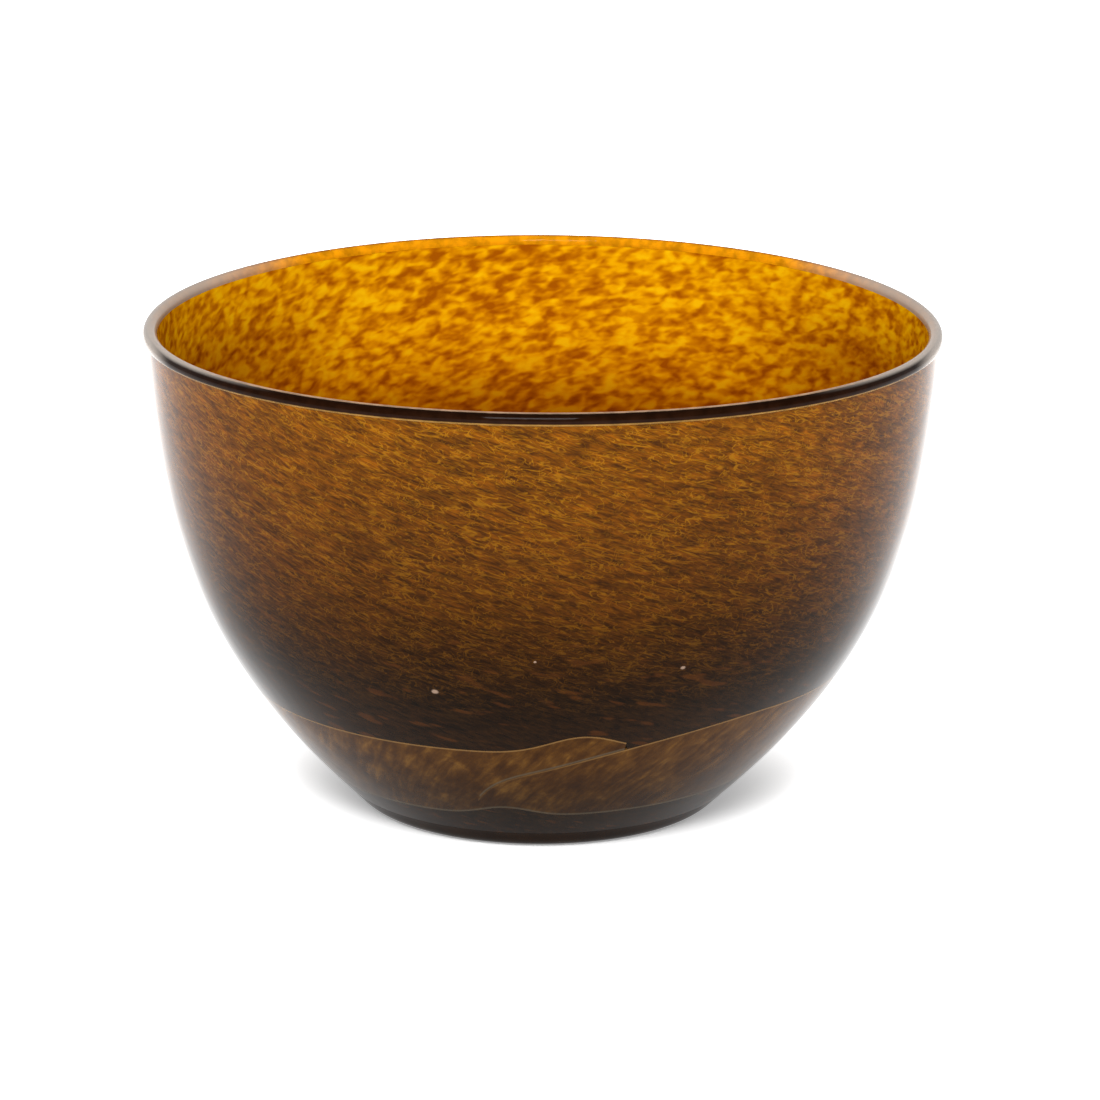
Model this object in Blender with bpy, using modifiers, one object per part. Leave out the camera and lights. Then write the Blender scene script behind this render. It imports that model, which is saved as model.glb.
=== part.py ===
"""A blown art glass bowl, modelled as the layers of glass that it was worked from.

The frame is +Z up, with the origin at the centre of the flat base. The front is -Y, where the
tail of the wrapped ribbon lies beside its start. Lengths are in metres and angles in degrees.
A bearing is measured about +Z from the front, and grows towards +X.
"""
import math

import bpy
import numpy as np

COLLECTION_NAME = "art_glass_bowl"

# Overall size
LIP_REACH = 0.100           # outermost radius of the rounded lip
BOWL_HEIGHT = 0.1244
GAP = 0.0003                # between layers that touch
STEPS = 64                  # facets round every turned shape

# Foot: the bottom disc that the bowl stands on
FOOT_FLAT = 0.0405          # radius of the flat underside
FOOT_RADIUS = 0.0493        # where the disc meets the casing
FOOT_HEIGHT = 0.005
FOOT_ROUNDNESS = 0.00475    # how far the side holds its slope at both ends

# Wall: one cubic curve from the foot to the lip's seat
WALL_TOP_RADIUS = 0.0993
LIP_SEAT = 0.1214           # height of the lip's flat underside
FOOT_SLOPE = 43.8           # of the wall, from horizontal
LIP_SLOPE = 85.5
FOOT_HANDLE = 0.0573        # how far the curve holds each slope
LIP_HANDLE = 0.0460
WALL_AT_LIP = 0.0030        # horizontal thickness of both layers together
WALL_AT_FOOT = 0.0072

# Inside of the bowl
FLOOR_HEIGHT = 0.0088
FLOOR_FLAT = 0.030          # radius of the level part of the floor
FLOOR_HANDLE = 0.010
FLOOR_MEETS_WALL = 0.08     # share of the wall curve where the floor's sweep ends
INNER_LAYER = 0.0012
FRIT_TOP = 0.1221           # the inner layer rises this far, in a rebate on the inside of the lip

# Lip: a round bead over a short outer flank, with the rebate on its inside
LIP_BEAD_RADIUS = 0.0018
LIP_FLANK_SPREAD = 25       # how far the bead's arc runs on below its widest point
LIP_FLANK_HANDLE = 0.0003   # how far the flank holds the wall's and the bead's slopes

# Ribbon: a strip wrapped once round the lower wall, with its tail drawn down past its start
RIBBON_DEPTH = 0.0010
RIBBON_LOW = 0.0118         # mean height of the lower edge
RIBBON_HIGH_START = 0.0340  # upper edge on the first half of the lap
RIBBON_HIGH_END = 0.0399    # upper edge on the last half
LOW_TILT = 0.0015           # the lower edge rises by this much towards +X
LOW_BUMP = 0.0030           # small rise of the lower edge over the tail's tip
LOW_BUMP_BEARING = -8.0
LOW_BUMP_SPREAD = 9.0
START_BEARING = 16.0        # of the start, from which the ribbon runs to the left
START_HUMP = 0.0050         # rise of the upper edge just after the start
START_HUMP_LAP = 8.0
START_HUMP_SPREAD = 9.0
CLIMB_FROM, CLIMB_TO = 66.0, 312.0
TAIL_FROM = 331.0           # lap angle where the tail starts to drop
TAIL_SPAN = 60.5            # lap angle over which it would come to a point
TAIL_HOLD = 1.5             # powers that shape the drop: slow at first, and steep at the tip
TAIL_ROUNDNESS = 0.6
OVERLAP = 30.0              # lap angle past one turn
TAIL_CLEARANCE = 0.5        # lap angle between the tail and the start
LAP_STEP = 3.0              # between the ribbon's columns
RIBBON_ROWS = 4             # points from its lower to its upper edge
CUTTER_PROUD = 0.001        # how far the groove cutter stands out of the wall

# Glass colours, linear RGB
AMBER = (0.75, 0.30, 0.01)
BROWN = (0.16, 0.07, 0.02)
TAN = (0.22, 0.11, 0.04)
DARK_BROWN = (0.05, 0.025, 0.01)


# ---------------------------------------------------------------- outlines, as (radius, height)

def heading(slope):
    return np.array([math.cos(math.radians(slope)), math.sin(math.radians(slope))])


def curve(start, start_slope, start_handle, end, end_slope, end_handle, count):
    """Points of a cubic curve that leaves start and reaches end at the given slopes."""
    start, end = np.array(start), np.array(end)
    first = start + start_handle * heading(start_slope)
    second = end - end_handle * heading(end_slope)
    t = np.linspace(0.0, 1.0, count)[:, None]
    s = 1.0 - t
    return s ** 3 * start + 3 * s ** 2 * t * first + 3 * s * t ** 2 * second + t ** 3 * end


def shifted(line, distance):
    """The line moved to its own left, which is towards the bowl's inside on an upward line."""
    along = np.gradient(line, axis=0)
    along /= np.linalg.norm(along, axis=1)[:, None]
    left = np.column_stack([-along[:, 1], along[:, 0]])
    return line + left * distance


def outer_wall(count=12):
    """The outside of the casing, from the foot up to the lip's seat."""
    foot = (FOOT_RADIUS + GAP, FOOT_HEIGHT + GAP)
    top = (WALL_TOP_RADIUS, LIP_SEAT - GAP)
    return curve(foot, FOOT_SLOPE, FOOT_HANDLE, top, LIP_SLOPE, LIP_HANDLE, count)


def cup_surface(count=12, floor_count=5):
    """The inside of the bowl, from the middle of the floor up to the lip's seat."""
    wall = outer_wall(count)
    share = np.linspace(0.0, 1.0, count)
    wall[:, 0] -= WALL_AT_LIP + (WALL_AT_FOOT - WALL_AT_LIP) * (1.0 - share) ** 2
    wall = wall[share > FLOOR_MEETS_WALL]
    rise = wall[1] - wall[0]
    slope = math.degrees(math.atan2(rise[1], rise[0]))
    reach = FLOOR_HANDLE
    sweep = curve((FLOOR_FLAT, FLOOR_HEIGHT), 0.0, reach, wall[0], slope, reach, floor_count)
    return np.vstack([[(0.0, FLOOR_HEIGHT)], sweep[:-1], wall])


def lip_outline():
    """Closed outline of the lip, up its rebated inner side, over the bead and down its outer flank."""
    centre = np.array([LIP_REACH - LIP_BEAD_RADIUS, BOWL_HEIGHT - LIP_BEAD_RADIUS])
    turns = np.linspace(180.0, -LIP_FLANK_SPREAD, 9)
    bead = np.array([centre + LIP_BEAD_RADIUS * heading(turn) for turn in turns])
    rebate = LIP_REACH - 2 * LIP_BEAD_RADIUS + INNER_LAYER + GAP
    inner_side = [(rebate, LIP_SEAT), (rebate, FRIT_TOP + GAP)]
    outer_foot = (WALL_TOP_RADIUS, LIP_SEAT)
    bead_slope = 90.0 - LIP_FLANK_SPREAD
    reach = LIP_FLANK_HANDLE
    flank = curve(outer_foot, LIP_SLOPE, reach, bead[-1], bead_slope, reach, 3)
    return np.vstack([inner_side, bead, flank[-2::-1]])


def foot_side(count=7):
    """The outside of the bottom disc, from its flat underside up to the casing."""
    reach = FOOT_ROUNDNESS
    return curve((FOOT_FLAT, 0.0), 0.0, reach, (FOOT_RADIUS, FOOT_HEIGHT), FOOT_SLOPE, reach, count)


# ---------------------------------------------------------------- ribbon edges

def smooth_step(value):
    value = min(max(value, 0.0), 1.0)
    return value * value * (3.0 - 2.0 * value)


def bell(offset, spread):
    return math.exp(-(offset / spread) ** 2)


def low_edge(bearing):
    """Height of the ribbon's lower edge."""
    bearing = (bearing + 180.0) % 360.0 - 180.0
    bump = LOW_BUMP * bell(bearing - LOW_BUMP_BEARING, LOW_BUMP_SPREAD)
    return RIBBON_LOW + LOW_TILT * math.sin(math.radians(bearing)) + bump


def high_edge(lap):
    """Height of the ribbon's upper edge at a lap angle, which is zero at the ribbon's start."""
    climb = smooth_step((lap - CLIMB_FROM) / (CLIMB_TO - CLIMB_FROM))
    high = RIBBON_HIGH_START + (RIBBON_HIGH_END - RIBBON_HIGH_START) * climb
    high += START_HUMP * bell(lap - START_HUMP_LAP, START_HUMP_SPREAD)
    if lap > TAIL_FROM:
        low = low_edge(START_BEARING - lap)
        share = (lap - TAIL_FROM) / TAIL_SPAN
        high = low + (high - low) * (1.0 - share ** TAIL_HOLD) ** TAIL_ROUNDNESS
    return high


def ribbon_edges(lap):
    """Lower and upper height of the ribbon; the start is trimmed along the tail beside it."""
    low = low_edge(START_BEARING - lap)
    if lap <= OVERLAP:
        low = high_edge(lap + 360.0 - TAIL_CLEARANCE) + GAP
    return low, high_edge(lap)


def groove_edges(lap):
    """Lower and upper height of the groove that holds the ribbon all the way round."""
    high = high_edge(lap)
    if lap <= OVERLAP:
        high = max(high, high_edge(lap + 360.0))
    return low_edge(START_BEARING - lap) - GAP, high + GAP


# ---------------------------------------------------------------- objects

def make_material(name, colour, roughness):
    material = bpy.data.materials.new(name)
    material.use_nodes = True
    shader = material.node_tree.nodes["Principled BSDF"]
    shader.inputs["Base Color"].default_value = (*colour, 1.0)
    shader.inputs["Roughness"].default_value = roughness
    shader.inputs["Metallic"].default_value = 0.0
    material.diffuse_color = (*colour, 1.0)
    return material


def make_collection(name):
    collection = bpy.data.collections.new(name)
    bpy.context.scene.collection.children.link(collection)
    return collection


def add_mesh(name, collection, vertices, edges, faces):
    mesh = bpy.data.meshes.new(name)
    mesh.from_pydata([tuple(map(float, vertex)) for vertex in vertices], edges, faces)
    mesh.update()
    thing = bpy.data.objects.new(name, mesh)
    collection.objects.link(thing)
    return thing


def turned(name, collection, outline, material, closed=False):
    """A body of revolution from an outline that runs down the body's outer side."""
    vertices = [(radius, 0.0, height) for radius, height in outline]
    edges = [(i, i + 1) for i in range(len(vertices) - 1)]
    if closed:
        edges.append((len(vertices) - 1, 0))
    body = add_mesh(name, collection, vertices, edges, [])
    body.data.materials.append(material)
    screw = body.modifiers.new("turn", "SCREW")
    screw.steps = STEPS
    screw.render_steps = STEPS
    screw.use_merge_vertices = True
    screw.merge_threshold = 0.00001
    screw.use_smooth_shade = True
    return body


def wall_sheet(name, collection, laps, edges_at, depth, closed):
    """An open sheet at a depth under the outer wall, between two edges given for each lap angle."""
    wall = outer_wall(200)
    sunk = shifted(wall, depth)
    vertices = []
    for lap in laps:
        bearing = math.radians(START_BEARING - lap)
        for height in np.linspace(*edges_at(lap), RIBBON_ROWS):
            radius = np.interp(height, wall[:, 1], sunk[:, 0])
            level = np.interp(height, wall[:, 1], sunk[:, 1])
            vertices.append((radius * math.sin(bearing), -radius * math.cos(bearing), level))
    columns = len(laps)
    faces = []
    for column in range(columns if closed else columns - 1):
        near, far = column * RIBBON_ROWS, (column + 1) % columns * RIBBON_ROWS
        for row in range(RIBBON_ROWS - 1):
            faces.append((near + row, near + row + 1, far + row + 1, far + row))
    return add_mesh(name, collection, vertices, [], faces)


def thicken(sheet, thickness, offset):
    """Give the sheet a thickness: offset -1 grows it into the bowl, and 1 out of it."""
    solidify = sheet.modifiers.new("thickness", "SOLIDIFY")
    solidify.thickness = thickness
    solidify.offset = offset


# ---------------------------------------------------------------- sub-parts

def make_base_disc(collection):
    """The thick bottom disc, flat underneath, that the bowl stands on."""
    top = [(0.0, FOOT_HEIGHT)]
    underside = [(0.0, 0.0)]
    outline = np.vstack([top, foot_side()[::-1], underside])
    turned("base_disc", collection, outline, make_material("base_glass", DARK_BROWN, 0.08))


def make_groove_cutter(collection):
    """A ring that reaches from outside the wall down to the floor of the ribbon's groove."""
    depth = RIBBON_DEPTH + GAP
    laps = np.arange(0.0, 360.0, LAP_STEP)
    cutter = wall_sheet("groove_cutter", collection, laps, groove_edges, depth, closed=True)
    thicken(cutter, depth + CUTTER_PROUD, 1.0)
    cutter.hide_render = True
    cutter.display_type = "WIRE"
    return cutter


def make_outer_casing(collection, cutters):
    """The brown overlay that wraps the whole bowl, with a groove for the ribbon."""
    inside = shifted(cup_surface(), -(INNER_LAYER + GAP))
    underside = [(0.0, FOOT_HEIGHT + GAP)]
    outline = np.vstack([inside, outer_wall()[::-1], underside])
    casing = turned("outer_casing", collection, outline, make_material("casing_glass", BROWN, 0.05))
    groove = casing.modifiers.new("ribbon_groove", "BOOLEAN")
    groove.operation = "DIFFERENCE"
    groove.solver = "EXACT"
    groove.object = make_groove_cutter(cutters)


def make_inner_layer(collection):
    """The amber frit layer that lines the bowl."""
    inside = np.vstack([cup_surface(), [(LIP_REACH - 2 * LIP_BEAD_RADIUS, FRIT_TOP)]])
    outside = shifted(inside, -INNER_LAYER)
    outline = np.vstack([inside, outside[::-1]])
    turned("inner_amber_layer", collection, outline, make_material("amber_frit", AMBER, 0.05))


def make_ribbon(collection):
    """The paler ribbon, flush with the wall, from its trimmed start to the tip of its tail."""
    laps = np.arange(0.0, 360.0 + OVERLAP + LAP_STEP / 2, LAP_STEP)
    ribbon = wall_sheet("ribbon_band", collection, laps, ribbon_edges, 0.0, closed=False)
    thicken(ribbon, RIBBON_DEPTH, -1.0)
    ribbon.data.materials.append(make_material("ribbon_glass", TAN, 0.05))
    ribbon.data.shade_smooth()


def make_lip(collection):
    """The rounded lip of clear brown glass that closes the edge of both layers."""
    material = make_material("lip_glass", DARK_BROWN, 0.03)
    turned("lip_bead", collection, lip_outline(), material, closed=True)


def main():
    for thing in list(bpy.data.objects):
        bpy.data.objects.remove(thing, do_unlink=True)
    parts = make_collection(COLLECTION_NAME)
    cutters = make_collection("cutters")
    make_base_disc(parts)
    make_outer_casing(parts, cutters)
    make_inner_layer(parts)
    make_ribbon(parts)
    make_lip(parts)


main()
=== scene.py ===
import math

import bpy
import numpy as np
from mathutils import Matrix, Vector


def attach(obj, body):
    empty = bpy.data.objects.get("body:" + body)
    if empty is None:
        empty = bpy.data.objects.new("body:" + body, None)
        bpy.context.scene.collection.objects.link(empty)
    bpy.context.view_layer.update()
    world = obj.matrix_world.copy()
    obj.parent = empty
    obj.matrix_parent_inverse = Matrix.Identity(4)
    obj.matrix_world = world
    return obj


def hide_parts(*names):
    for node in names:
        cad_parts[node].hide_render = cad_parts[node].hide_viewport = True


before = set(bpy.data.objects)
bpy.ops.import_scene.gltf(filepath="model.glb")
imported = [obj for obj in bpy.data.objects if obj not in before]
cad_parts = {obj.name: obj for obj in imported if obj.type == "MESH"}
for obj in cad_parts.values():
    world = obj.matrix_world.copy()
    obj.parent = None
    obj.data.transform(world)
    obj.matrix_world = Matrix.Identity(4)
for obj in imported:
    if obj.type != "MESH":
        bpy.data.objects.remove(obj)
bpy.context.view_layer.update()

# ---------------------------------------------------------------- driving dimensions, as in the CAD model
LIP_REACH = 0.100
BOWL_HEIGHT = 0.1244
FOOT_FLAT = 0.0405
FOOT_RADIUS = 0.0493
FOOT_HEIGHT = 0.005
FOOT_ROUNDNESS = 0.00475
WALL_TOP_RADIUS = 0.0993
LIP_SEAT = 0.1214
FOOT_SLOPE = 43.8
LIP_SLOPE = 85.5
FOOT_HANDLE = 0.0573
LIP_HANDLE = 0.0460
WALL_AT_LIP = 0.0030
WALL_AT_FOOT = 0.0072
FLOOR_HEIGHT = 0.0088
FLOOR_FLAT = 0.030
FLOOR_HANDLE = 0.010
FLOOR_MEETS_WALL = 0.08
INNER_LAYER = 0.0012
FRIT_TOP = 0.1221
LIP_BEAD_RADIUS = 0.0018
LIP_FLANK_SPREAD = 25.0
LIP_FLANK_HANDLE = 0.0003
RIBBON_DEPTH = 0.0010
RIBBON_LOW = 0.0118
RIBBON_HIGH_START = 0.0340
RIBBON_HIGH_END = 0.0399
LOW_TILT = 0.0015
LOW_BUMP = 0.0030
LOW_BUMP_BEARING = -8.0
LOW_BUMP_SPREAD = 9.0
START_BEARING = 16.0
START_HUMP = 0.0050
START_HUMP_LAP = 8.0
START_HUMP_SPREAD = 9.0
CLIMB_FROM = 66.0
CLIMB_TO = 312.0
TAIL_FROM = 331.0
TAIL_SPAN = 60.5
TAIL_HOLD = 1.5
TAIL_ROUNDNESS = 0.6
OVERLAP = 30.0

CASING_TWIST = 28.0     # slope of the streaks in the casing, from horizontal
FRIT_TWIST = 62.0       # of the frit inside
RIBBON_TWIST = -52.0    # and of the wisps in the ribbon
SEAM = 0.00003          # the hair-thin joint between two layers that are fused
COLUMNS = 480           # steps round the bowl
BEAD_ROWS = 48          # steps over the lip's bead
INSIDE_ROWS = 9         # and up the step that rests on the amber layer
CLOSED_WITHIN = 0.004   # inside this radius the casing's floor closes in one point
UNDER_LIP = -LIP_FLANK_SPREAD - 10.0    # facing of the lip's flank and seat, in degrees
LEAN_BASE = 0.0007      # a hand-blown bowl leans a little
LEAN_BOW = 0.001684
WOBBLE = 0.00012        # isn't quite round
DIP = 0.0011            # and its rim is lower at both sides than at the front and the back
SHARP = math.radians(30.0)      # edges sharper than this stay crisp
SHEEN = 0.027           # how strongly the surface mirrors what faces it squarely

# ---------------------------------------------------------------- profiles, (radius, height) in metres


def heading(slope):
    return np.array([math.cos(math.radians(slope)), math.sin(math.radians(slope))])


def curve(start, start_slope, start_handle, end, end_slope, end_handle, count):
    start, end = np.array(start), np.array(end)
    first = start + start_handle * heading(start_slope)
    second = end - end_handle * heading(end_slope)
    t = np.linspace(0.0, 1.0, count)[:, None]
    s = 1.0 - t
    return s**3 * start + 3.0 * s**2 * t * first + 3.0 * s * t**2 * second + t**3 * end


def shifted(line, distance):
    along = np.gradient(line, axis=0)
    along /= np.linalg.norm(along, axis=1)[:, None]
    return line + np.column_stack([-along[:, 1], along[:, 0]]) * distance


def outer_wall(count):
    return curve((FOOT_RADIUS, FOOT_HEIGHT + SEAM), FOOT_SLOPE, FOOT_HANDLE,
                 (WALL_TOP_RADIUS, LIP_SEAT - SEAM), LIP_SLOPE, LIP_HANDLE, count)


def cup_surface(count, floor_count):
    wall = outer_wall(count)
    share = np.linspace(0.0, 1.0, count)
    wall[:, 0] -= WALL_AT_LIP + (WALL_AT_FOOT - WALL_AT_LIP) * (1.0 - share) ** 2
    wall = wall[share > FLOOR_MEETS_WALL]
    rise = wall[1] - wall[0]
    slope = math.degrees(math.atan2(rise[1], rise[0]))
    sweep = curve((FLOOR_FLAT, FLOOR_HEIGHT), 0.0, FLOOR_HANDLE, wall[0], slope, FLOOR_HANDLE,
                  floor_count)
    flat = np.column_stack([np.linspace(0.0, FLOOR_FLAT, floor_count)[:-1],
                            np.full(floor_count - 1, FLOOR_HEIGHT)])
    return np.vstack([flat, sweep[:-1], wall])


def lip_outline(bead_count):
    centre = np.array([LIP_REACH - LIP_BEAD_RADIUS, BOWL_HEIGHT - LIP_BEAD_RADIUS])
    turns = np.linspace(180.0, -LIP_FLANK_SPREAD, bead_count)
    bead = np.array([centre + LIP_BEAD_RADIUS * heading(turn) for turn in turns])
    rebate = LIP_REACH - 2.0 * LIP_BEAD_RADIUS + INNER_LAYER + SEAM
    foot = np.array([rebate, LIP_SEAT])
    step = np.array([rebate, FRIT_TOP + SEAM])
    corner = np.array([bead[0][0], FRIT_TOP + SEAM])
    outer_foot = np.array([WALL_TOP_RADIUS, LIP_SEAT])
    flank = curve(outer_foot, LIP_SLOPE, LIP_FLANK_HANDLE, bead[-1], 90.0 - LIP_FLANK_SPREAD,
                  LIP_FLANK_HANDLE, 7)
    share = np.linspace(0.0, 1.0, 5)[:-1, None]
    inside = np.vstack([foot + share * (step - foot), step + share * (corner - step), [corner]])
    seat = outer_foot + share[1:] * (foot - outer_foot)
    return np.vstack([inside, bead, flank[-2::-1], seat])


def smooth_step(value):
    value = np.clip(value, 0.0, 1.0)
    return value * value * (3.0 - 2.0 * value)


def bell(offset, spread):
    return np.exp(-(offset / spread) ** 2)


def low_edge(bearing):
    bearing = (bearing + 180.0) % 360.0 - 180.0
    return (RIBBON_LOW + LOW_TILT * np.sin(np.radians(bearing))
            + LOW_BUMP * bell(bearing - LOW_BUMP_BEARING, LOW_BUMP_SPREAD))


def high_edge(lap):
    climb = smooth_step((lap - CLIMB_FROM) / (CLIMB_TO - CLIMB_FROM))
    high = (RIBBON_HIGH_START + (RIBBON_HIGH_END - RIBBON_HIGH_START) * climb
            + START_HUMP * bell(lap - START_HUMP_LAP, START_HUMP_SPREAD))
    low = low_edge(START_BEARING - lap)
    share = np.clip((lap - TAIL_FROM) / TAIL_SPAN, 0.0, 1.0)
    return low + (high - low) * (1.0 - share**TAIL_HOLD) ** TAIL_ROUNDNESS


FINE = outer_wall(400)
FINE_ARC = np.concatenate([[0.0], np.cumsum(np.linalg.norm(np.diff(FINE, axis=0), axis=1))])


def wall_point(height, depth):
    """Radius and height at a depth below the outer wall, measured square to it."""
    line = shifted(FINE, depth)
    return np.interp(height, FINE[:, 1], line[:, 0]), np.interp(height, FINE[:, 1], line[:, 1])


def placed(radius, bearing, height):
    """Points of a turned shape, with the slight lean, wobble and dip of a hand-blown bowl."""
    angle = np.radians(bearing)
    rise = height / BOWL_HEIGHT
    wave = 0.5 - 0.25 * np.sin(2.0 * angle + 0.7) - 0.25 * np.sin(3.0 * angle + 5.0 * rise + 2.1)
    ripple = 0.5 + 0.5 * np.sin(5.0 * angle - 7.0 * rise) * np.sin(23.0 * rise + 2.0 * angle)
    radius = radius - WOBBLE * (wave + 0.5 * ripple) * smooth_step(radius / FOOT_FLAT - 1.0)
    lean = LEAN_BASE * (rise - 1.0) - LEAN_BOW * (rise - 1.0) * rise
    sag = WOBBLE * (0.8 - 0.3 * np.sin(2.0 * angle + 1.9)) * rise**6
    dip = DIP * np.sin(angle) ** 2 * rise
    return np.stack([radius * np.sin(angle) + lean, -radius * np.cos(angle),
                     height - sag - dip + 0.0 * angle], axis=-1)


# ---------------------------------------------------------------- meshes
collection = bpy.data.collections.new("art_glass_bowl_look")
bpy.context.scene.collection.children.link(collection)


def grid_object(name, points, around=True, closed=True, poles=(False, False), attributes=None):
    """A closed mesh from rows of points: around joins each row's ends, closed joins the last row to the
    first, and a pole gathers the first or the last row in one point."""
    rows, columns = points.shape[:2]
    index = np.arange(rows * columns).reshape(rows, columns)
    if poles[0]:
        index[0] = index[0, 0]
    if poles[1]:
        index[-1] = index[-1, 0]
    below = index if closed else index[:-1]
    above = np.roll(index, -1, axis=0) if closed else index[1:]
    left = (below, above) if around else (below[:, :-1], above[:, :-1])
    right = tuple(np.roll(part, -1, axis=1) if around else part[:, 1:] for part in (below, above))
    corners = np.stack([left[0], right[0], right[1], left[1]], axis=-1).reshape(-1, 4)
    flat = points.reshape(-1, 3)
    used = np.unique(index)
    renumber = np.full(len(flat), -1)
    renumber[used] = np.arange(len(used))
    flat = flat[used]
    corners = renumber[corners]
    ends = [] if around else [renumber[index[::-1, 0]].tolist(), renumber[index[:, -1]].tolist()]
    a, b, c, d = (flat[corners[:, n]] for n in range(4))
    volume = np.sum(a * (np.cross(b, c) + np.cross(c, d)))
    if volume < 0.0:
        corners = corners[:, ::-1]
        ends = [end[::-1] for end in ends]
    flawed = (corners == np.roll(corners, 1, axis=1)).any(axis=1)
    faces = corners[~flawed].tolist()
    faces += [list(dict.fromkeys(face)) for face in corners[flawed].tolist()]
    mesh = bpy.data.meshes.new(name)
    mesh.from_pydata(flat.tolist(), [], faces + ends)
    for key, values in (attributes or {}).items():
        kind = "FLOAT_VECTOR" if values.ndim == 3 else "FLOAT"
        layer = mesh.attributes.new(key, kind, "POINT")
        field = "vector" if values.ndim == 3 else "value"
        data = values.reshape(rows * columns, -1)[used]
        layer.data.foreach_set(field, data.astype(np.float32).ravel())
    mesh.shade_smooth()
    mesh.set_sharp_from_angle(angle=SHARP)
    mesh.validate()
    obj = bpy.data.objects.new(name, mesh)
    collection.objects.link(obj)
    return obj


def swirl(bearing, arc, slope, circle=90.0):
    """Millimetres across (x and y) and along (z) the streaks that the twist left in the glass, which
    run at this slope. They meet without a seam."""
    lean = math.radians(slope)
    turn = np.radians(bearing) + arc * 1000.0 / math.tan(lean) / circle
    across = circle * abs(math.sin(lean))
    return np.stack([across * np.sin(turn), -across * np.cos(turn),
                     arc * 1000.0 / abs(math.sin(lean)) + 0.0 * turn], axis=-1)


bearings = np.linspace(-180.0, 180.0, COLUMNS, endpoint=False)[None, :]


def turned(outline):
    """The rows of points that an outline of (radius, height) sweeps round the bowl."""
    return placed(outline[:, 0][:, None], bearings, outline[:, 1][:, None])


def wall_arc(height):
    """Distance up the outer wall from the foot."""
    return np.interp(height, FINE[:, 1], FINE_ARC)


# The casing: its outside from the foot to the lip with the ribbon's groove, then down its inside.
lap = (START_BEARING - bearings) % 360.0
groove_low = low_edge(bearings)
groove_high = high_edge(lap)
groove_high = np.where(lap <= OVERLAP, np.maximum(groove_high, high_edge(lap + 360.0)), groove_high)


def between(low, high, count):
    return low + (high - low) * np.linspace(0.0, 1.0, count)[:, None]


foot_line = np.full_like(bearings, FOOT_HEIGHT + SEAM)
top_line = np.full_like(bearings, LIP_SEAT - SEAM)
levels = [between(foot_line, groove_low - SEAM, 8),
          between(groove_low - SEAM, groove_high + SEAM, 12),
          between(groove_high + SEAM, top_line, 104)]
depths = [0.0, RIBBON_DEPTH + SEAM, 0.0]
outside = []
for level, depth in zip(levels, depths):
    radius, height = wall_point(level, depth)
    outside.append(placed(radius, bearings, height))
inner = shifted(cup_surface(90, 12), -(INNER_LAYER + SEAM))[::-1][::2]
inner = inner[inner[:, 0] > CLOSED_WITHIN]
underside = turned(np.array([(0.0, FOOT_HEIGHT + SEAM)]))
middle = turned(np.array([(0.0, inner[-1, 1])]))
casing_points = np.vstack([underside, *outside, turned(inner), middle])
outer_levels = np.vstack(levels)
inner_levels = np.broadcast_to(inner[:, 1][:, None], (len(inner), COLUMNS))
level_rows = np.vstack([np.full((1, COLUMNS), FOOT_HEIGHT), outer_levels, inner_levels,
                        np.full((1, COLUMNS), FLOOR_HEIGHT)])
casing_swirl = swirl(bearings, wall_arc(level_rows), CASING_TWIST)
casing = grid_object("outer_casing_glass", casing_points, closed=False, poles=(True, True),
                     attributes={"swirl": casing_swirl})

# The inner layer: the cup's own surface, and its back against the casing.
cup = np.vstack([cup_surface(110, 14), [(LIP_REACH - 2.0 * LIP_BEAD_RADIUS, FRIT_TOP)]])
cup_arc = np.concatenate([[0.0], np.cumsum(np.linalg.norm(np.diff(cup, axis=0), axis=1))])
back = shifted(cup, -INNER_LAYER)[::-4]
back_arc = np.interp(back[:, 1], cup[:, 1], cup_arc)
layer_rows = np.vstack([cup, back, [(0.0, FLOOR_HEIGHT - INNER_LAYER)]])
arcs = np.concatenate([cup_arc, back_arc, [0.0]])[:, None]
layer = grid_object("inner_amber_frit", turned(layer_rows), closed=False, poles=(True, True),
                    attributes={"swirl": swirl(bearings, arcs, FRIT_TWIST)})

# The lip: a rounded bead over a short outer flank. Its facing is the way that the surface looks, in
# degrees: 0 is out, 90 is up and 180 is in. The flank and the seat have one value of their own.
outline = lip_outline(BEAD_ROWS)
under_rows = len(outline) - INSIDE_ROWS - BEAD_ROWS
facing = np.concatenate([np.full(INSIDE_ROWS, 180.0),
                         np.linspace(180.0, -LIP_FLANK_SPREAD, BEAD_ROWS),
                         np.full(under_rows, UNDER_LIP)])
lip = grid_object("lip_bead_glass", turned(outline),
                  attributes={"facing": facing[:, None] + 0.0 * bearings})

# The base: a thick disc with a rounded edge, ground flat underneath.
edge = curve((FOOT_FLAT, 0.0), 0.0, FOOT_ROUNDNESS,
             (FOOT_RADIUS, FOOT_HEIGHT), FOOT_SLOPE, FOOT_ROUNDNESS, 24)
under = np.linspace((0.0, 0.0), (FOOT_FLAT, 0.0), 28)[:-1]
over = np.linspace((FOOT_RADIUS, FOOT_HEIGHT), (0.0, FOOT_HEIGHT), 10)[1:]
disc = np.vstack([under, edge, over])
base = grid_object("base_disc_glass", turned(disc), closed=False, poles=(True, True))

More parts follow.
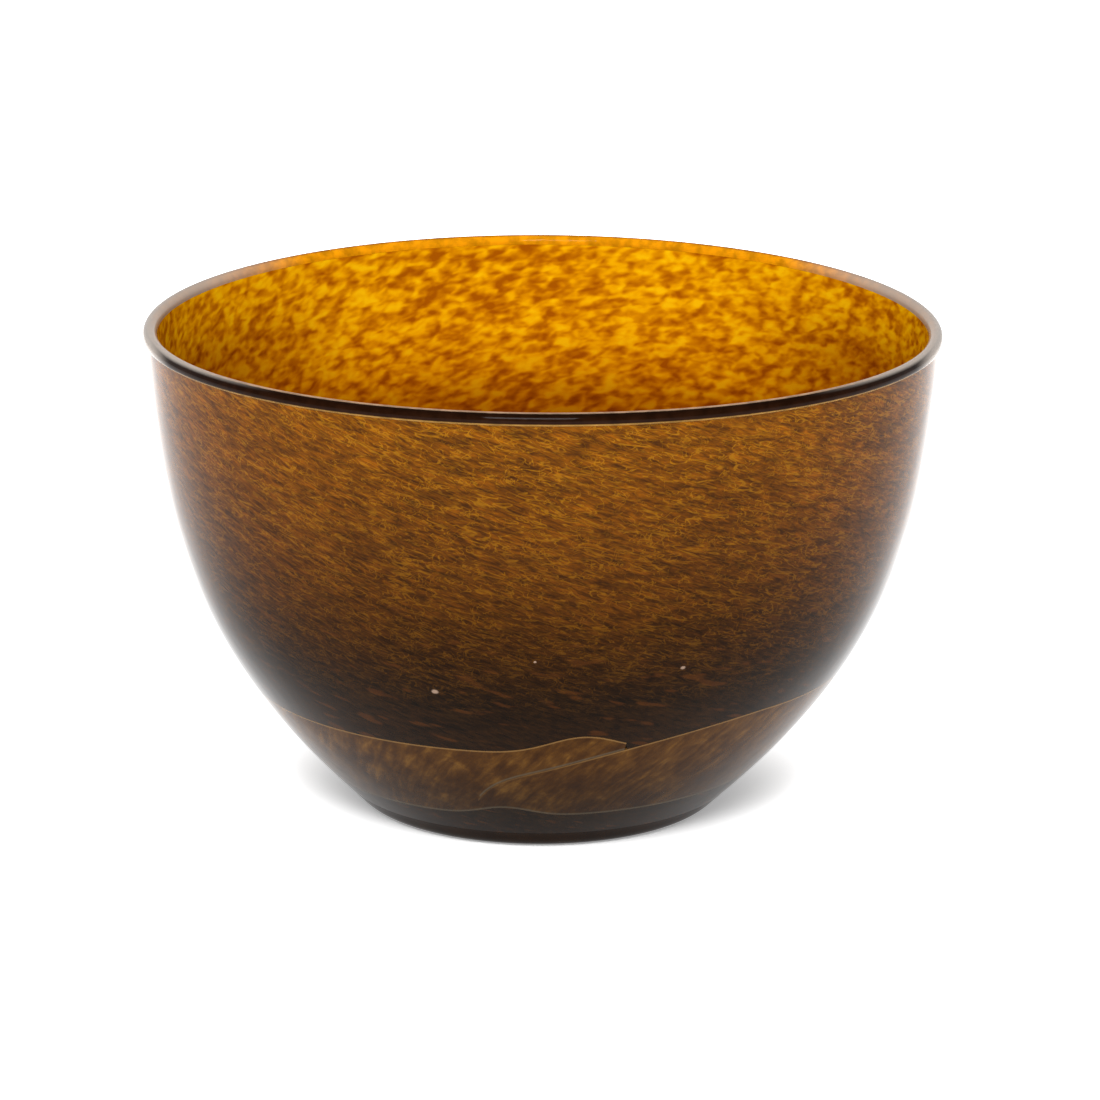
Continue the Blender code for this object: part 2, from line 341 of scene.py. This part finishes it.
# The ribbon: one lap round the lower wall, its tail drawn down past its start.
laps = np.linspace(0.0, 360.0 + OVERLAP, 520)[None, :]
ribbon_bearings = START_BEARING - laps
high_line = high_edge(laps)
low_line = low_edge(ribbon_bearings)
low_line = np.where(laps <= OVERLAP, high_edge(laps + 360.0) + SEAM, low_line)
front_levels = between(low_line, high_line, 26)
back_levels = front_levels[::-5]
radius, height = wall_point(front_levels, 0.0)
front_points = placed(radius, ribbon_bearings, height)
radius, height = wall_point(back_levels, RIBBON_DEPTH)
back_points = placed(radius, ribbon_bearings, height)
ribbon_levels = np.vstack([front_levels, back_levels])
ribbon_swirl = swirl(ribbon_bearings + 0.0 * ribbon_levels, wall_arc(ribbon_levels), RIBBON_TWIST)
ribbon = grid_object("ribbon_band_glass", np.vstack([front_points, back_points]), around=False,
                     attributes={"swirl": ribbon_swirl,
                                 "from_top": (high_line - ribbon_levels) * 1000.0,
                                 "from_low": (ribbon_levels - low_line) * 1000.0,
                                 "lap": laps + 0.0 * ribbon_levels})

# ---------------------------------------------------------------- materials


class Look:
    """A node material, built from short calls."""

    def __init__(self, name):
        self.material = bpy.data.materials.new(name)
        self.material.use_nodes = True
        self.tree = self.material.node_tree
        self.tree.nodes.clear()

    def node(self, kind, inputs=None, **settings):
        made = self.tree.nodes.new(kind)
        for key, value in settings.items():
            setattr(made, key, value)
        for key, value in (inputs or {}).items():
            self.give(made.inputs[key], value)
        return made

    def give(self, socket, value):
        if isinstance(value, bpy.types.NodeSocket):
            self.tree.links.new(value, socket)
        else:
            socket.default_value = value

    def attribute(self, name, output="Vector"):
        return self.node("ShaderNodeAttribute", attribute_name=name).outputs[output]

    def position(self):
        return self.node("ShaderNodeTexCoord").outputs["Object"]

    def place(self):
        """The position in millimetres."""
        return self.scaled(self.position(), (1000.0, 1000.0, 1000.0))

    def height(self):
        """Millimetres above the underside."""
        split = self.node("ShaderNodeSeparateXYZ", {0: self.position()})
        return self.multiplied(split.outputs[2], 1000.0)

    def rise(self):
        """The height as a share of the bowl's height."""
        return self.maths("DIVIDE", self.height(), BOWL_HEIGHT * 1000.0)

    def aside(self):
        """Millimetres to the left or the right of the bowl's axis."""
        split = self.node("ShaderNodeSeparateXYZ", {0: self.position()})
        return self.maths("ABSOLUTE", self.multiplied(split.outputs[0], 1000.0))

    def maths(self, operation, first, second=0.0):
        made = self.node("ShaderNodeMath", {0: first, 1: second}, operation=operation)
        return made.outputs[0]

    def multiplied(self, first, second):
        return self.maths("MULTIPLY", first, second)

    def either(self, first, second):
        return self.maths("MAXIMUM", first, second)

    def blended(self, first, second, share):
        """From the first value to the second, by the share."""
        more = self.multiplied(self.maths("SUBTRACT", second, first), share)
        return self.maths("ADD", first, more)

    def near(self, value, centre, far, close):
        """1 where the value is within close of the centre, fading to 0 at far from it."""
        away = self.maths("ABSOLUTE", self.maths("SUBTRACT", value, centre))
        return self.spread(away, far, close)

    def scaled(self, vector, sizes):
        made = self.node("ShaderNodeVectorMath", {0: vector, 1: sizes}, operation="MULTIPLY")
        return made.outputs[0]

    def noise(self, vector, scale, detail=3.0, roughness=0.5, distortion=0.0):
        made = self.node("ShaderNodeTexNoise", {"Vector": vector, "Scale": scale, "Detail": detail,
                                                "Roughness": roughness, "Distortion": distortion})
        return made.outputs[0]

    def spread(self, value, low, high, to_low=0.0, to_high=1.0):
        made = self.node("ShaderNodeMapRange", {0: value, 1: low, 2: high, 3: to_low, 4: to_high},
                         interpolation_type="SMOOTHSTEP")
        return made.outputs[0]

    def ramp(self, factor, stops):
        made = self.node("ShaderNodeValToRGB", {0: factor})
        elements = made.color_ramp.elements
        while len(elements) < len(stops):
            elements.new(0.5)
        for element, (place, colour) in zip(elements, stops):
            element.position = place
        # A second pass, because elements change order while they move.
        for element, (place, colour) in zip(elements, stops):
            element.position = place
            element.color = (*colour, 1.0)
        return made.outputs[0]

    def mix(self, factor, first, second, blend="MIX"):
        made = self.node("ShaderNodeMix", data_type="RGBA", blend_type=blend)
        made.clamp_result = False
        self.give(made.inputs[0], factor)
        self.give(made.inputs[6], first if isinstance(first, bpy.types.NodeSocket) else (*first, 1.0))
        self.give(made.inputs[7], second if isinstance(second, bpy.types.NodeSocket) else (*second, 1.0))
        return made.outputs[2]

    def brighten(self, colour, factor):
        made = self.node("ShaderNodeVectorMath", {0: colour}, operation="SCALE")
        self.give(made.inputs["Scale"], factor)
        return made.outputs[0]

    def bump(self, height, strength, distance):
        made = self.node("ShaderNodeBump", {"Strength": strength, "Distance": distance, "Height": height})
        return made.outputs["Normal"]

    def surface(self, inputs):
        made = self.node("ShaderNodeBsdfPrincipled", inputs)
        out = self.node("ShaderNodeOutputMaterial")
        self.tree.links.new(made.outputs[0], out.inputs[0])


def dress(obj, look, node):
    obj.data.materials.append(look.material)
    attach(obj, "root")
    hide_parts(node)


def seed_spot(look, bearing, level, size):
    """1 inside a seed bubble just under the outer wall, 0 outside it."""
    radius = float(np.interp(level, FINE[:, 1], FINE[:, 0]))
    centre = placed(np.array(radius), np.array(bearing), np.array(level))
    offset = look.node("ShaderNodeVectorMath", {0: look.position(), 1: tuple(centre)},
                       operation="SUBTRACT")
    squeezed = look.scaled(offset.outputs[0], (1.0 / size[0], 1.0 / size[0], 1.0 / size[1]))
    length = look.node("ShaderNodeVectorMath", {0: squeezed}, operation="LENGTH")
    return look.spread(length.outputs["Value"], 1.0, 0.45)


# Exterior: brown casing streaked by the twist it was given, darker towards the foot: partly the glass's
# own deeper tone lower down, partly painted glow, brighter up the thinner upper wall where light from
# inside would shine through.
look = Look("casing_glass")
way = look.attribute("swirl")
level = look.height()
fine = look.noise(look.scaled(way, (1.0, 1.0, 0.30)), 0.92, 4.0, 0.62, 0.6)
micro = look.noise(look.scaled(way, (1.0, 1.0, 0.15)), 2.4, 2.0, 0.5, 0.5)
clump = look.noise(look.scaled(way, (1.0, 1.0, 0.65)), 0.30, 3.0, 0.6, 0.5)
cloud = look.noise(look.place(), 0.022, 2.0, 0.5)
strand_a = look.noise(look.scaled(way, (1.0, 1.0, 0.40)), 0.45, 1.0, 0.5, 1.3)
strand_b = look.noise(look.scaled(look.place(), (1.0, 1.0, 1.5)), 0.16, 2.0, 0.5, 1.8)
ridge_a = look.near(strand_a, 0.5, 0.045, 0.0)
ridge_b = look.near(strand_b, 0.5, 0.020, 0.0)
# Painted glow by height: the casing's own tone darkens towards the foot, and light shining through the
# upper wall is painted in as brighter colour near the lip.
tone_and_painted_glow = look.ramp(look.rise(), [
    (0.03, (0.009, 0.0030, 0.0006)), (0.10, (0.007, 0.0029, 0.0006)),
    (0.30, (0.0072, 0.0026, 0.0005)), (0.40, (0.0062, 0.0023, 0.0004)),
    (0.52, (0.0162, 0.0049, 0.0003)), (0.64, (0.0330, 0.0094, 0.0002)),
    (0.80, (0.055, 0.0158, 0.0002)), (0.974, (0.074, 0.0218, 0.0002))])
streaks = look.spread(fine, 0.30, 0.70, 0.55, 1.52)
hairs = look.spread(micro, 0.30, 0.70, 0.74, 1.28)
clumps = look.spread(clump, 0.32, 0.68, 0.76, 1.24)
clouds = look.spread(cloud, 0.3, 0.7, 0.88, 1.12)
amount = look.multiplied(look.multiplied(streaks, clumps), look.multiplied(clouds, hairs))
body = look.brighten(tone_and_painted_glow, amount)
# The gold strands brighten towards the lip with the same painted glow.
gold_and_painted_glow = look.ramp(look.rise(), [
    (0.10, (0.010, 0.005, 0.001)), (0.35, (0.012, 0.005, 0.001)),
    (0.60, (0.094, 0.036, 0.001)), (0.95, (0.200, 0.082, 0.002))])
strands = look.either(look.multiplied(ridge_a, 0.64), look.multiplied(ridge_b, 0.66))
broken = look.multiplied(strands, look.spread(clump, 0.36, 0.58, 0.25, 1.0))
body = look.mix(broken, body, gold_and_painted_glow)
fleck = look.noise(look.place(), 1.3, 1.0, 0.5)
ember = look.noise(look.scaled(way, (1.0, 1.0, 0.5)), 0.35, 1.0, 0.4)
embers = look.multiplied(look.spread(ember, 0.62, 0.74), look.spread(level, 92.0, 60.0))
body = look.mix(look.multiplied(embers, 0.35), body, (0.055, 0.016, 0.002))
seeds = look.either(seed_spot(look, -17.4, 0.0512, (0.0011, 0.0008)),
                   seed_spot(look, 22.9, 0.0575, (0.0008, 0.0006)))
seeds = look.either(seeds, seed_spot(look, -0.9, 0.0611, (0.00045, 0.00040)))
body = look.mix(look.multiplied(seeds, 0.7), body, (0.22, 0.15, 0.11))
relief = look.noise(look.place(), 0.035, 3.0, 0.5)
relief = look.maths("ADD", relief, look.multiplied(seeds, 0.05))
look.surface({"Base Color": body,
              "Roughness": look.spread(fleck, 0.3, 0.7, 0.045, 0.075),
              "Specular IOR Level": SHEEN,
              "IOR": 1.5,
              "Normal": look.bump(relief, 0.35, 0.0006)})
dress(casing, look, "outer_casing")

# Inside: amber frit in mottled grains.
look = Look("amber_frit")
way = look.attribute("swirl")
grain = look.noise(look.scaled(way, (0.80, 0.80, 1.0)), 0.42, 1.4, 0.42, 0.25)
clump = look.noise(look.scaled(way, (0.62, 0.62, 1.0)), 0.20, 2.0, 0.5, 0.3)
spot = look.place()
floor_grain = look.noise(spot, 0.42, 1.4, 0.42, 0.25)
floor_clump = look.noise(spot, 0.20, 2.0, 0.5, 0.3)
near_floor = look.spread(look.height(), 16.0, 9.5)
grain = look.blended(grain, floor_grain, near_floor)
clump = look.blended(clump, floor_clump, near_floor)
cloud = look.noise(way, 0.022, 2.0, 0.5)
mottle = look.blended(grain, clump, 0.30)
mottle = look.maths("ADD", mottle, look.multiplied(look.maths("SUBTRACT", cloud, 0.5), 0.12))
amber = look.ramp(mottle, [(0.34, (0.33, 0.078, 0.0004)), (0.43, (0.47, 0.145, 0.0004)),
                           (0.50, (0.60, 0.222, 0.0004)), (0.57, (0.73, 0.318, 0.0004)),
                           (0.66, (0.80, 0.420, 0.002))])
# Painted shade: the inside is darker lower down, where less light reaches it.
depth = look.ramp(look.rise(), [
    (0.30, (0.24, 0.14, 0.1)), (0.52, (0.27, 0.16, 0.1)), (0.60, (0.29, 0.17, 0.2)),
    (0.66, (0.43, 0.30, 0.3)), (0.72, (0.70, 0.59, 0.6)), (0.80, (0.92, 0.88, 0.9)),
    (0.88, (1.0, 1.0, 1.0))])
amber = look.mix(1.0, amber, depth, "MULTIPLY")
# Painted shade: the inside is darker on both flanks below the rim, where the wall is lit less.
painted_flank_shade = look.multiplied(look.spread(look.aside(), 42.0, 92.0),
                         look.spread(look.height(), 119.0, 100.0))
amber = look.mix(painted_flank_shade, amber, look.mix(1.0, amber, (0.50, 0.35, 0.4), "MULTIPLY"))
relief = look.noise(look.place(), 0.03, 3.0, 0.5)
look.surface({"Base Color": amber,
              "Roughness": look.spread(grain, 0.3, 0.7, 0.04, 0.07),
              "Specular IOR Level": SHEEN,
              "IOR": 1.5,
              "Normal": look.bump(relief, 0.3, 0.0006)})
dress(layer, look, "inner_amber_layer")

# The ribbon: tan glass with golden wisps, pale lines along its edges.
look = Look("ribbon_glass")
way = look.attribute("swirl")
wisp = look.noise(look.scaled(way, (1.0, 1.0, 0.30)), 0.38, 4.0, 0.62, 0.3)
clump = look.noise(look.place(), 0.16, 3.0, 0.55, 0.4)
from_top = look.attribute("from_top", "Fac")
from_low = look.attribute("from_low", "Fac")
tone = look.blended(wisp, clump, 0.45)
body = look.ramp(tone, [(0.34, (0.0165, 0.0054, 0.0007)), (0.46, (0.0275, 0.0098, 0.0012)),
                        (0.55, (0.0430, 0.0168, 0.0022)), (0.68, (0.0850, 0.0380, 0.0060))])
# The ribbon is darker towards the foot.
darker_lower_down = look.spread(look.height(), 14.0, 34.0, 0.62, 1.1)
body = look.brighten(body, darker_lower_down)
top_line = look.near(from_top, 0.25, 0.34, 0.05)
low_line = look.near(from_low, 0.3, 0.55, 0.1)
fading = look.spread(look.attribute("lap", "Fac"), 352.0, 386.0, 0.75, 0.2)
body = look.mix(look.multiplied(top_line, fading), body, (0.125, 0.068, 0.022))
body = look.mix(look.multiplied(low_line, 0.6), body, (0.050, 0.040, 0.026))
relief = look.noise(look.place(), 0.05, 3.0, 0.5)
look.surface({"Base Color": body,
              "Roughness": look.spread(wisp, 0.3, 0.7, 0.05, 0.08),
              "Specular IOR Level": SHEEN,
              "IOR": 1.5,
              "Normal": look.bump(relief, 0.35, 0.0006)})
dress(ribbon, look, "ribbon_band")

# The lip: dark outside, with painted light for the clear glass: amber inside where the frit would show
# through, painted pale light along its top and its foot, and painted pale light at both sides where the
# backdrop would shine through.
look = Look("lip_glass")
cloud = look.noise(look.place(), 0.30, 3.0, 0.55)
inward = look.maths("DIVIDE", look.maths("ADD", look.attribute("facing", "Fac"), 40.0), 220.0)
# Painted light by facing: amber on the inward faces for the frit seen through clear glass, and pale lines
# along the top and the foot.
tint_and_painted_light = look.ramp(inward, [(0.060, (0.170, 0.090, 0.022)), (0.095, (0.009, 0.0030, 0.0012)),
                          (0.470, (0.007, 0.0024, 0.0010)), (0.515, (0.300, 0.190, 0.120)),
                          (0.590, (0.300, 0.170, 0.080)), (0.640, (0.36, 0.115, 0.004)),
                          (0.740, (0.62, 0.230, 0.002))])
tint_and_painted_light = look.brighten(tint_and_painted_light, look.spread(cloud, 0.3, 0.7, 0.75, 1.3))
# Painted light: both sides of the lip are paled towards grey-beige, for the bright backdrop that would
# shine through the clear glass there.
clear = look.multiplied(look.spread(look.aside(), 62.0, 90.0), look.spread(inward, 0.34, 0.50))
clear = look.either(clear, look.spread(look.aside(), 90.0, 97.0))
tint_and_painted_light = look.mix(look.multiplied(clear, 0.85), tint_and_painted_light, (0.37, 0.32, 0.28))
relief = look.noise(look.place(), 0.04, 2.0, 0.5)
look.surface({"Base Color": tint_and_painted_light,
              "Roughness": look.spread(cloud, 0.3, 0.7, 0.05, 0.09),
              "IOR": 1.5,
              "Specular IOR Level": 0.02,
              "Normal": look.bump(relief, 0.10, 0.0006)})
dress(lip, look, "lip_bead")

# The base: dark glass, satin where it is ground flat.
look = Look("base_glass")
mist = look.noise(look.place(), 0.09, 4.0, 0.6, 0.5)
body = look.ramp(mist, [(0.35, (0.007, 0.0026, 0.0007)), (0.65, (0.013, 0.0050, 0.0013))])
ground = look.spread(look.height(), 0.25, 0.02)
scratch = look.noise(look.scaled(look.place(), (1.0, 6.0, 1.0)), 1.2, 3.0, 0.6)
body = look.mix(look.multiplied(ground, 0.35), body, (0.11, 0.075, 0.05))
look.surface({"Base Color": body,
              "Roughness": look.maths("ADD", 0.05, look.multiplied(ground, 0.32)),
              "Specular IOR Level": 0.012,
              "IOR": 1.5,
              "Normal": look.bump(look.multiplied(scratch, ground), 0.25, 0.0001)})
dress(base, look, "base_disc")

# ---------------------------------------------------------------- stage, light and camera
FLOOR_REACH = 2.2
floor_mesh = bpy.data.meshes.new("floor")
turns = np.radians(np.arange(0.0, 360.0, 5.0))
rim = [(FLOOR_REACH * math.cos(turn), FLOOR_REACH * math.sin(turn), 0.0) for turn in turns]
floor_mesh.from_pydata(rim, [], [list(range(len(rim)))])
floor = bpy.data.objects.new("floor", floor_mesh)
bpy.context.scene.collection.objects.link(floor)
pale = Look("pale_floor")
split = pale.node("ShaderNodeSeparateXYZ", {0: pale.position()})
reach = pale.maths("SQRT", pale.maths("ADD", pale.multiplied(split.outputs[0], split.outputs[0]),
                                      pale.multiplied(split.outputs[1], split.outputs[1])))
# The floor glows like a light table; its glow is dimmed close to the base, a painted shadow under the
# bowl, and raised further out.
floor_glow = pale.maths("ADD", pale.spread(reach, 0.042, 0.100, 0.32, 1.3),
                        pale.spread(reach, 0.12, 0.24, 0.0, 1.1))
pale.surface({"Base Color": (0.90, 0.90, 0.90, 1.0),
              "Roughness": 0.9,
              "Specular IOR Level": 0.0,
              "Emission Color": (1.0, 1.0, 1.0, 1.0),
              "Emission Strength": floor_glow})
floor_mesh.materials.append(pale.material)

world = bpy.data.worlds.new("studio")
bpy.context.scene.world = world
world.use_nodes = True
sky = world.node_tree
sky.nodes.clear()


def sky_node(kind, **settings):
    made = sky.nodes.new(kind)
    for key, value in settings.items():
        setattr(made, key, value)
    return made


direction = sky_node("ShaderNodeTexCoord")
split = sky_node("ShaderNodeSeparateXYZ")
sky.links.new(direction.outputs["Generated"], split.inputs[0])
front = sky_node("ShaderNodeMapRange", interpolation_type="SMOOTHSTEP")
above = sky_node("ShaderNodeMapRange", interpolation_type="SMOOTHSTEP")
for made, values in ((front, (-0.30, 0.60, 0.14, 1.25)), (above, (0.25, 0.70, 1.0, 0.35))):
    for place, value in enumerate(values):
        made.inputs[place + 1].default_value = value
sky.links.new(split.outputs[1], front.inputs[0])
sky.links.new(split.outputs[2], above.inputs[0])
glow = sky_node("ShaderNodeMath", operation="MULTIPLY")
sky.links.new(front.outputs[0], glow.inputs[0])
sky.links.new(above.outputs[0], glow.inputs[1])
camera_ray = sky_node("ShaderNodeLightPath")
choice = sky_node("ShaderNodeMix", data_type="FLOAT")
sky.links.new(camera_ray.outputs["Is Camera Ray"], choice.inputs[0])
sky.links.new(glow.outputs[0], choice.inputs[2])
choice.inputs[3].default_value = 1.3
backdrop = sky_node("ShaderNodeBackground")
backdrop.inputs[0].default_value = (1.0, 1.0, 1.0, 1.0)
sky.links.new(choice.outputs[0], backdrop.inputs[1])
sky_out = sky_node("ShaderNodeOutputWorld")
sky.links.new(backdrop.outputs[0], sky_out.inputs[0])


def soft_light(name, place, aim, size, power):
    lamp = bpy.data.lights.new(name, "AREA")
    lamp.shape = "RECTANGLE"
    lamp.size, lamp.size_y = size
    lamp.energy = power
    obj = bpy.data.objects.new(name, lamp)
    obj.location = place
    obj.rotation_euler = (Vector(aim) - Vector(place)).to_track_quat("-Z", "Y").to_euler()
    bpy.context.scene.collection.objects.link(obj)


soft_light("overhead", (0.0, 0.1, 1.6), (0.0, 0.0, 0.0), (1.6, 1.6), 1.6)
soft_light("key", (-0.08, -1.25, 1.00), (0.0, 0.0, 0.09), (0.6, 0.5), 34.0)

ELEVATION = math.radians(15.60)
ROLL = math.radians(0.331)
DISTANCE = 1.300
SENSOR = 36.0
LENS = 168.15
TARGET = np.array([0.00206, 0.0, 0.06397])
back_way = np.array([0.0, -math.cos(ELEVATION), math.sin(ELEVATION)])
right_way = np.array([1.0, 0.0, 0.0])
up_way = np.cross(back_way, right_way)
right_turned = right_way * math.cos(ROLL) + up_way * math.sin(ROLL)
up_turned = up_way * math.cos(ROLL) - right_way * math.sin(ROLL)
stand = TARGET + back_way * DISTANCE
camera_data = bpy.data.cameras.new("camera")
camera_data.sensor_width = SENSOR
camera_data.lens = LENS
camera = bpy.data.objects.new("camera", camera_data)
bpy.context.scene.collection.objects.link(camera)
columns = np.column_stack([right_turned, up_turned, back_way, stand])
camera.matrix_world = Matrix([list(row) for row in columns] + [[0.0, 0.0, 0.0, 1.0]])
bpy.context.scene.camera = camera
bpy.context.scene.view_settings.view_transform = "Standard"
bpy.context.scene.view_settings.look = "None"
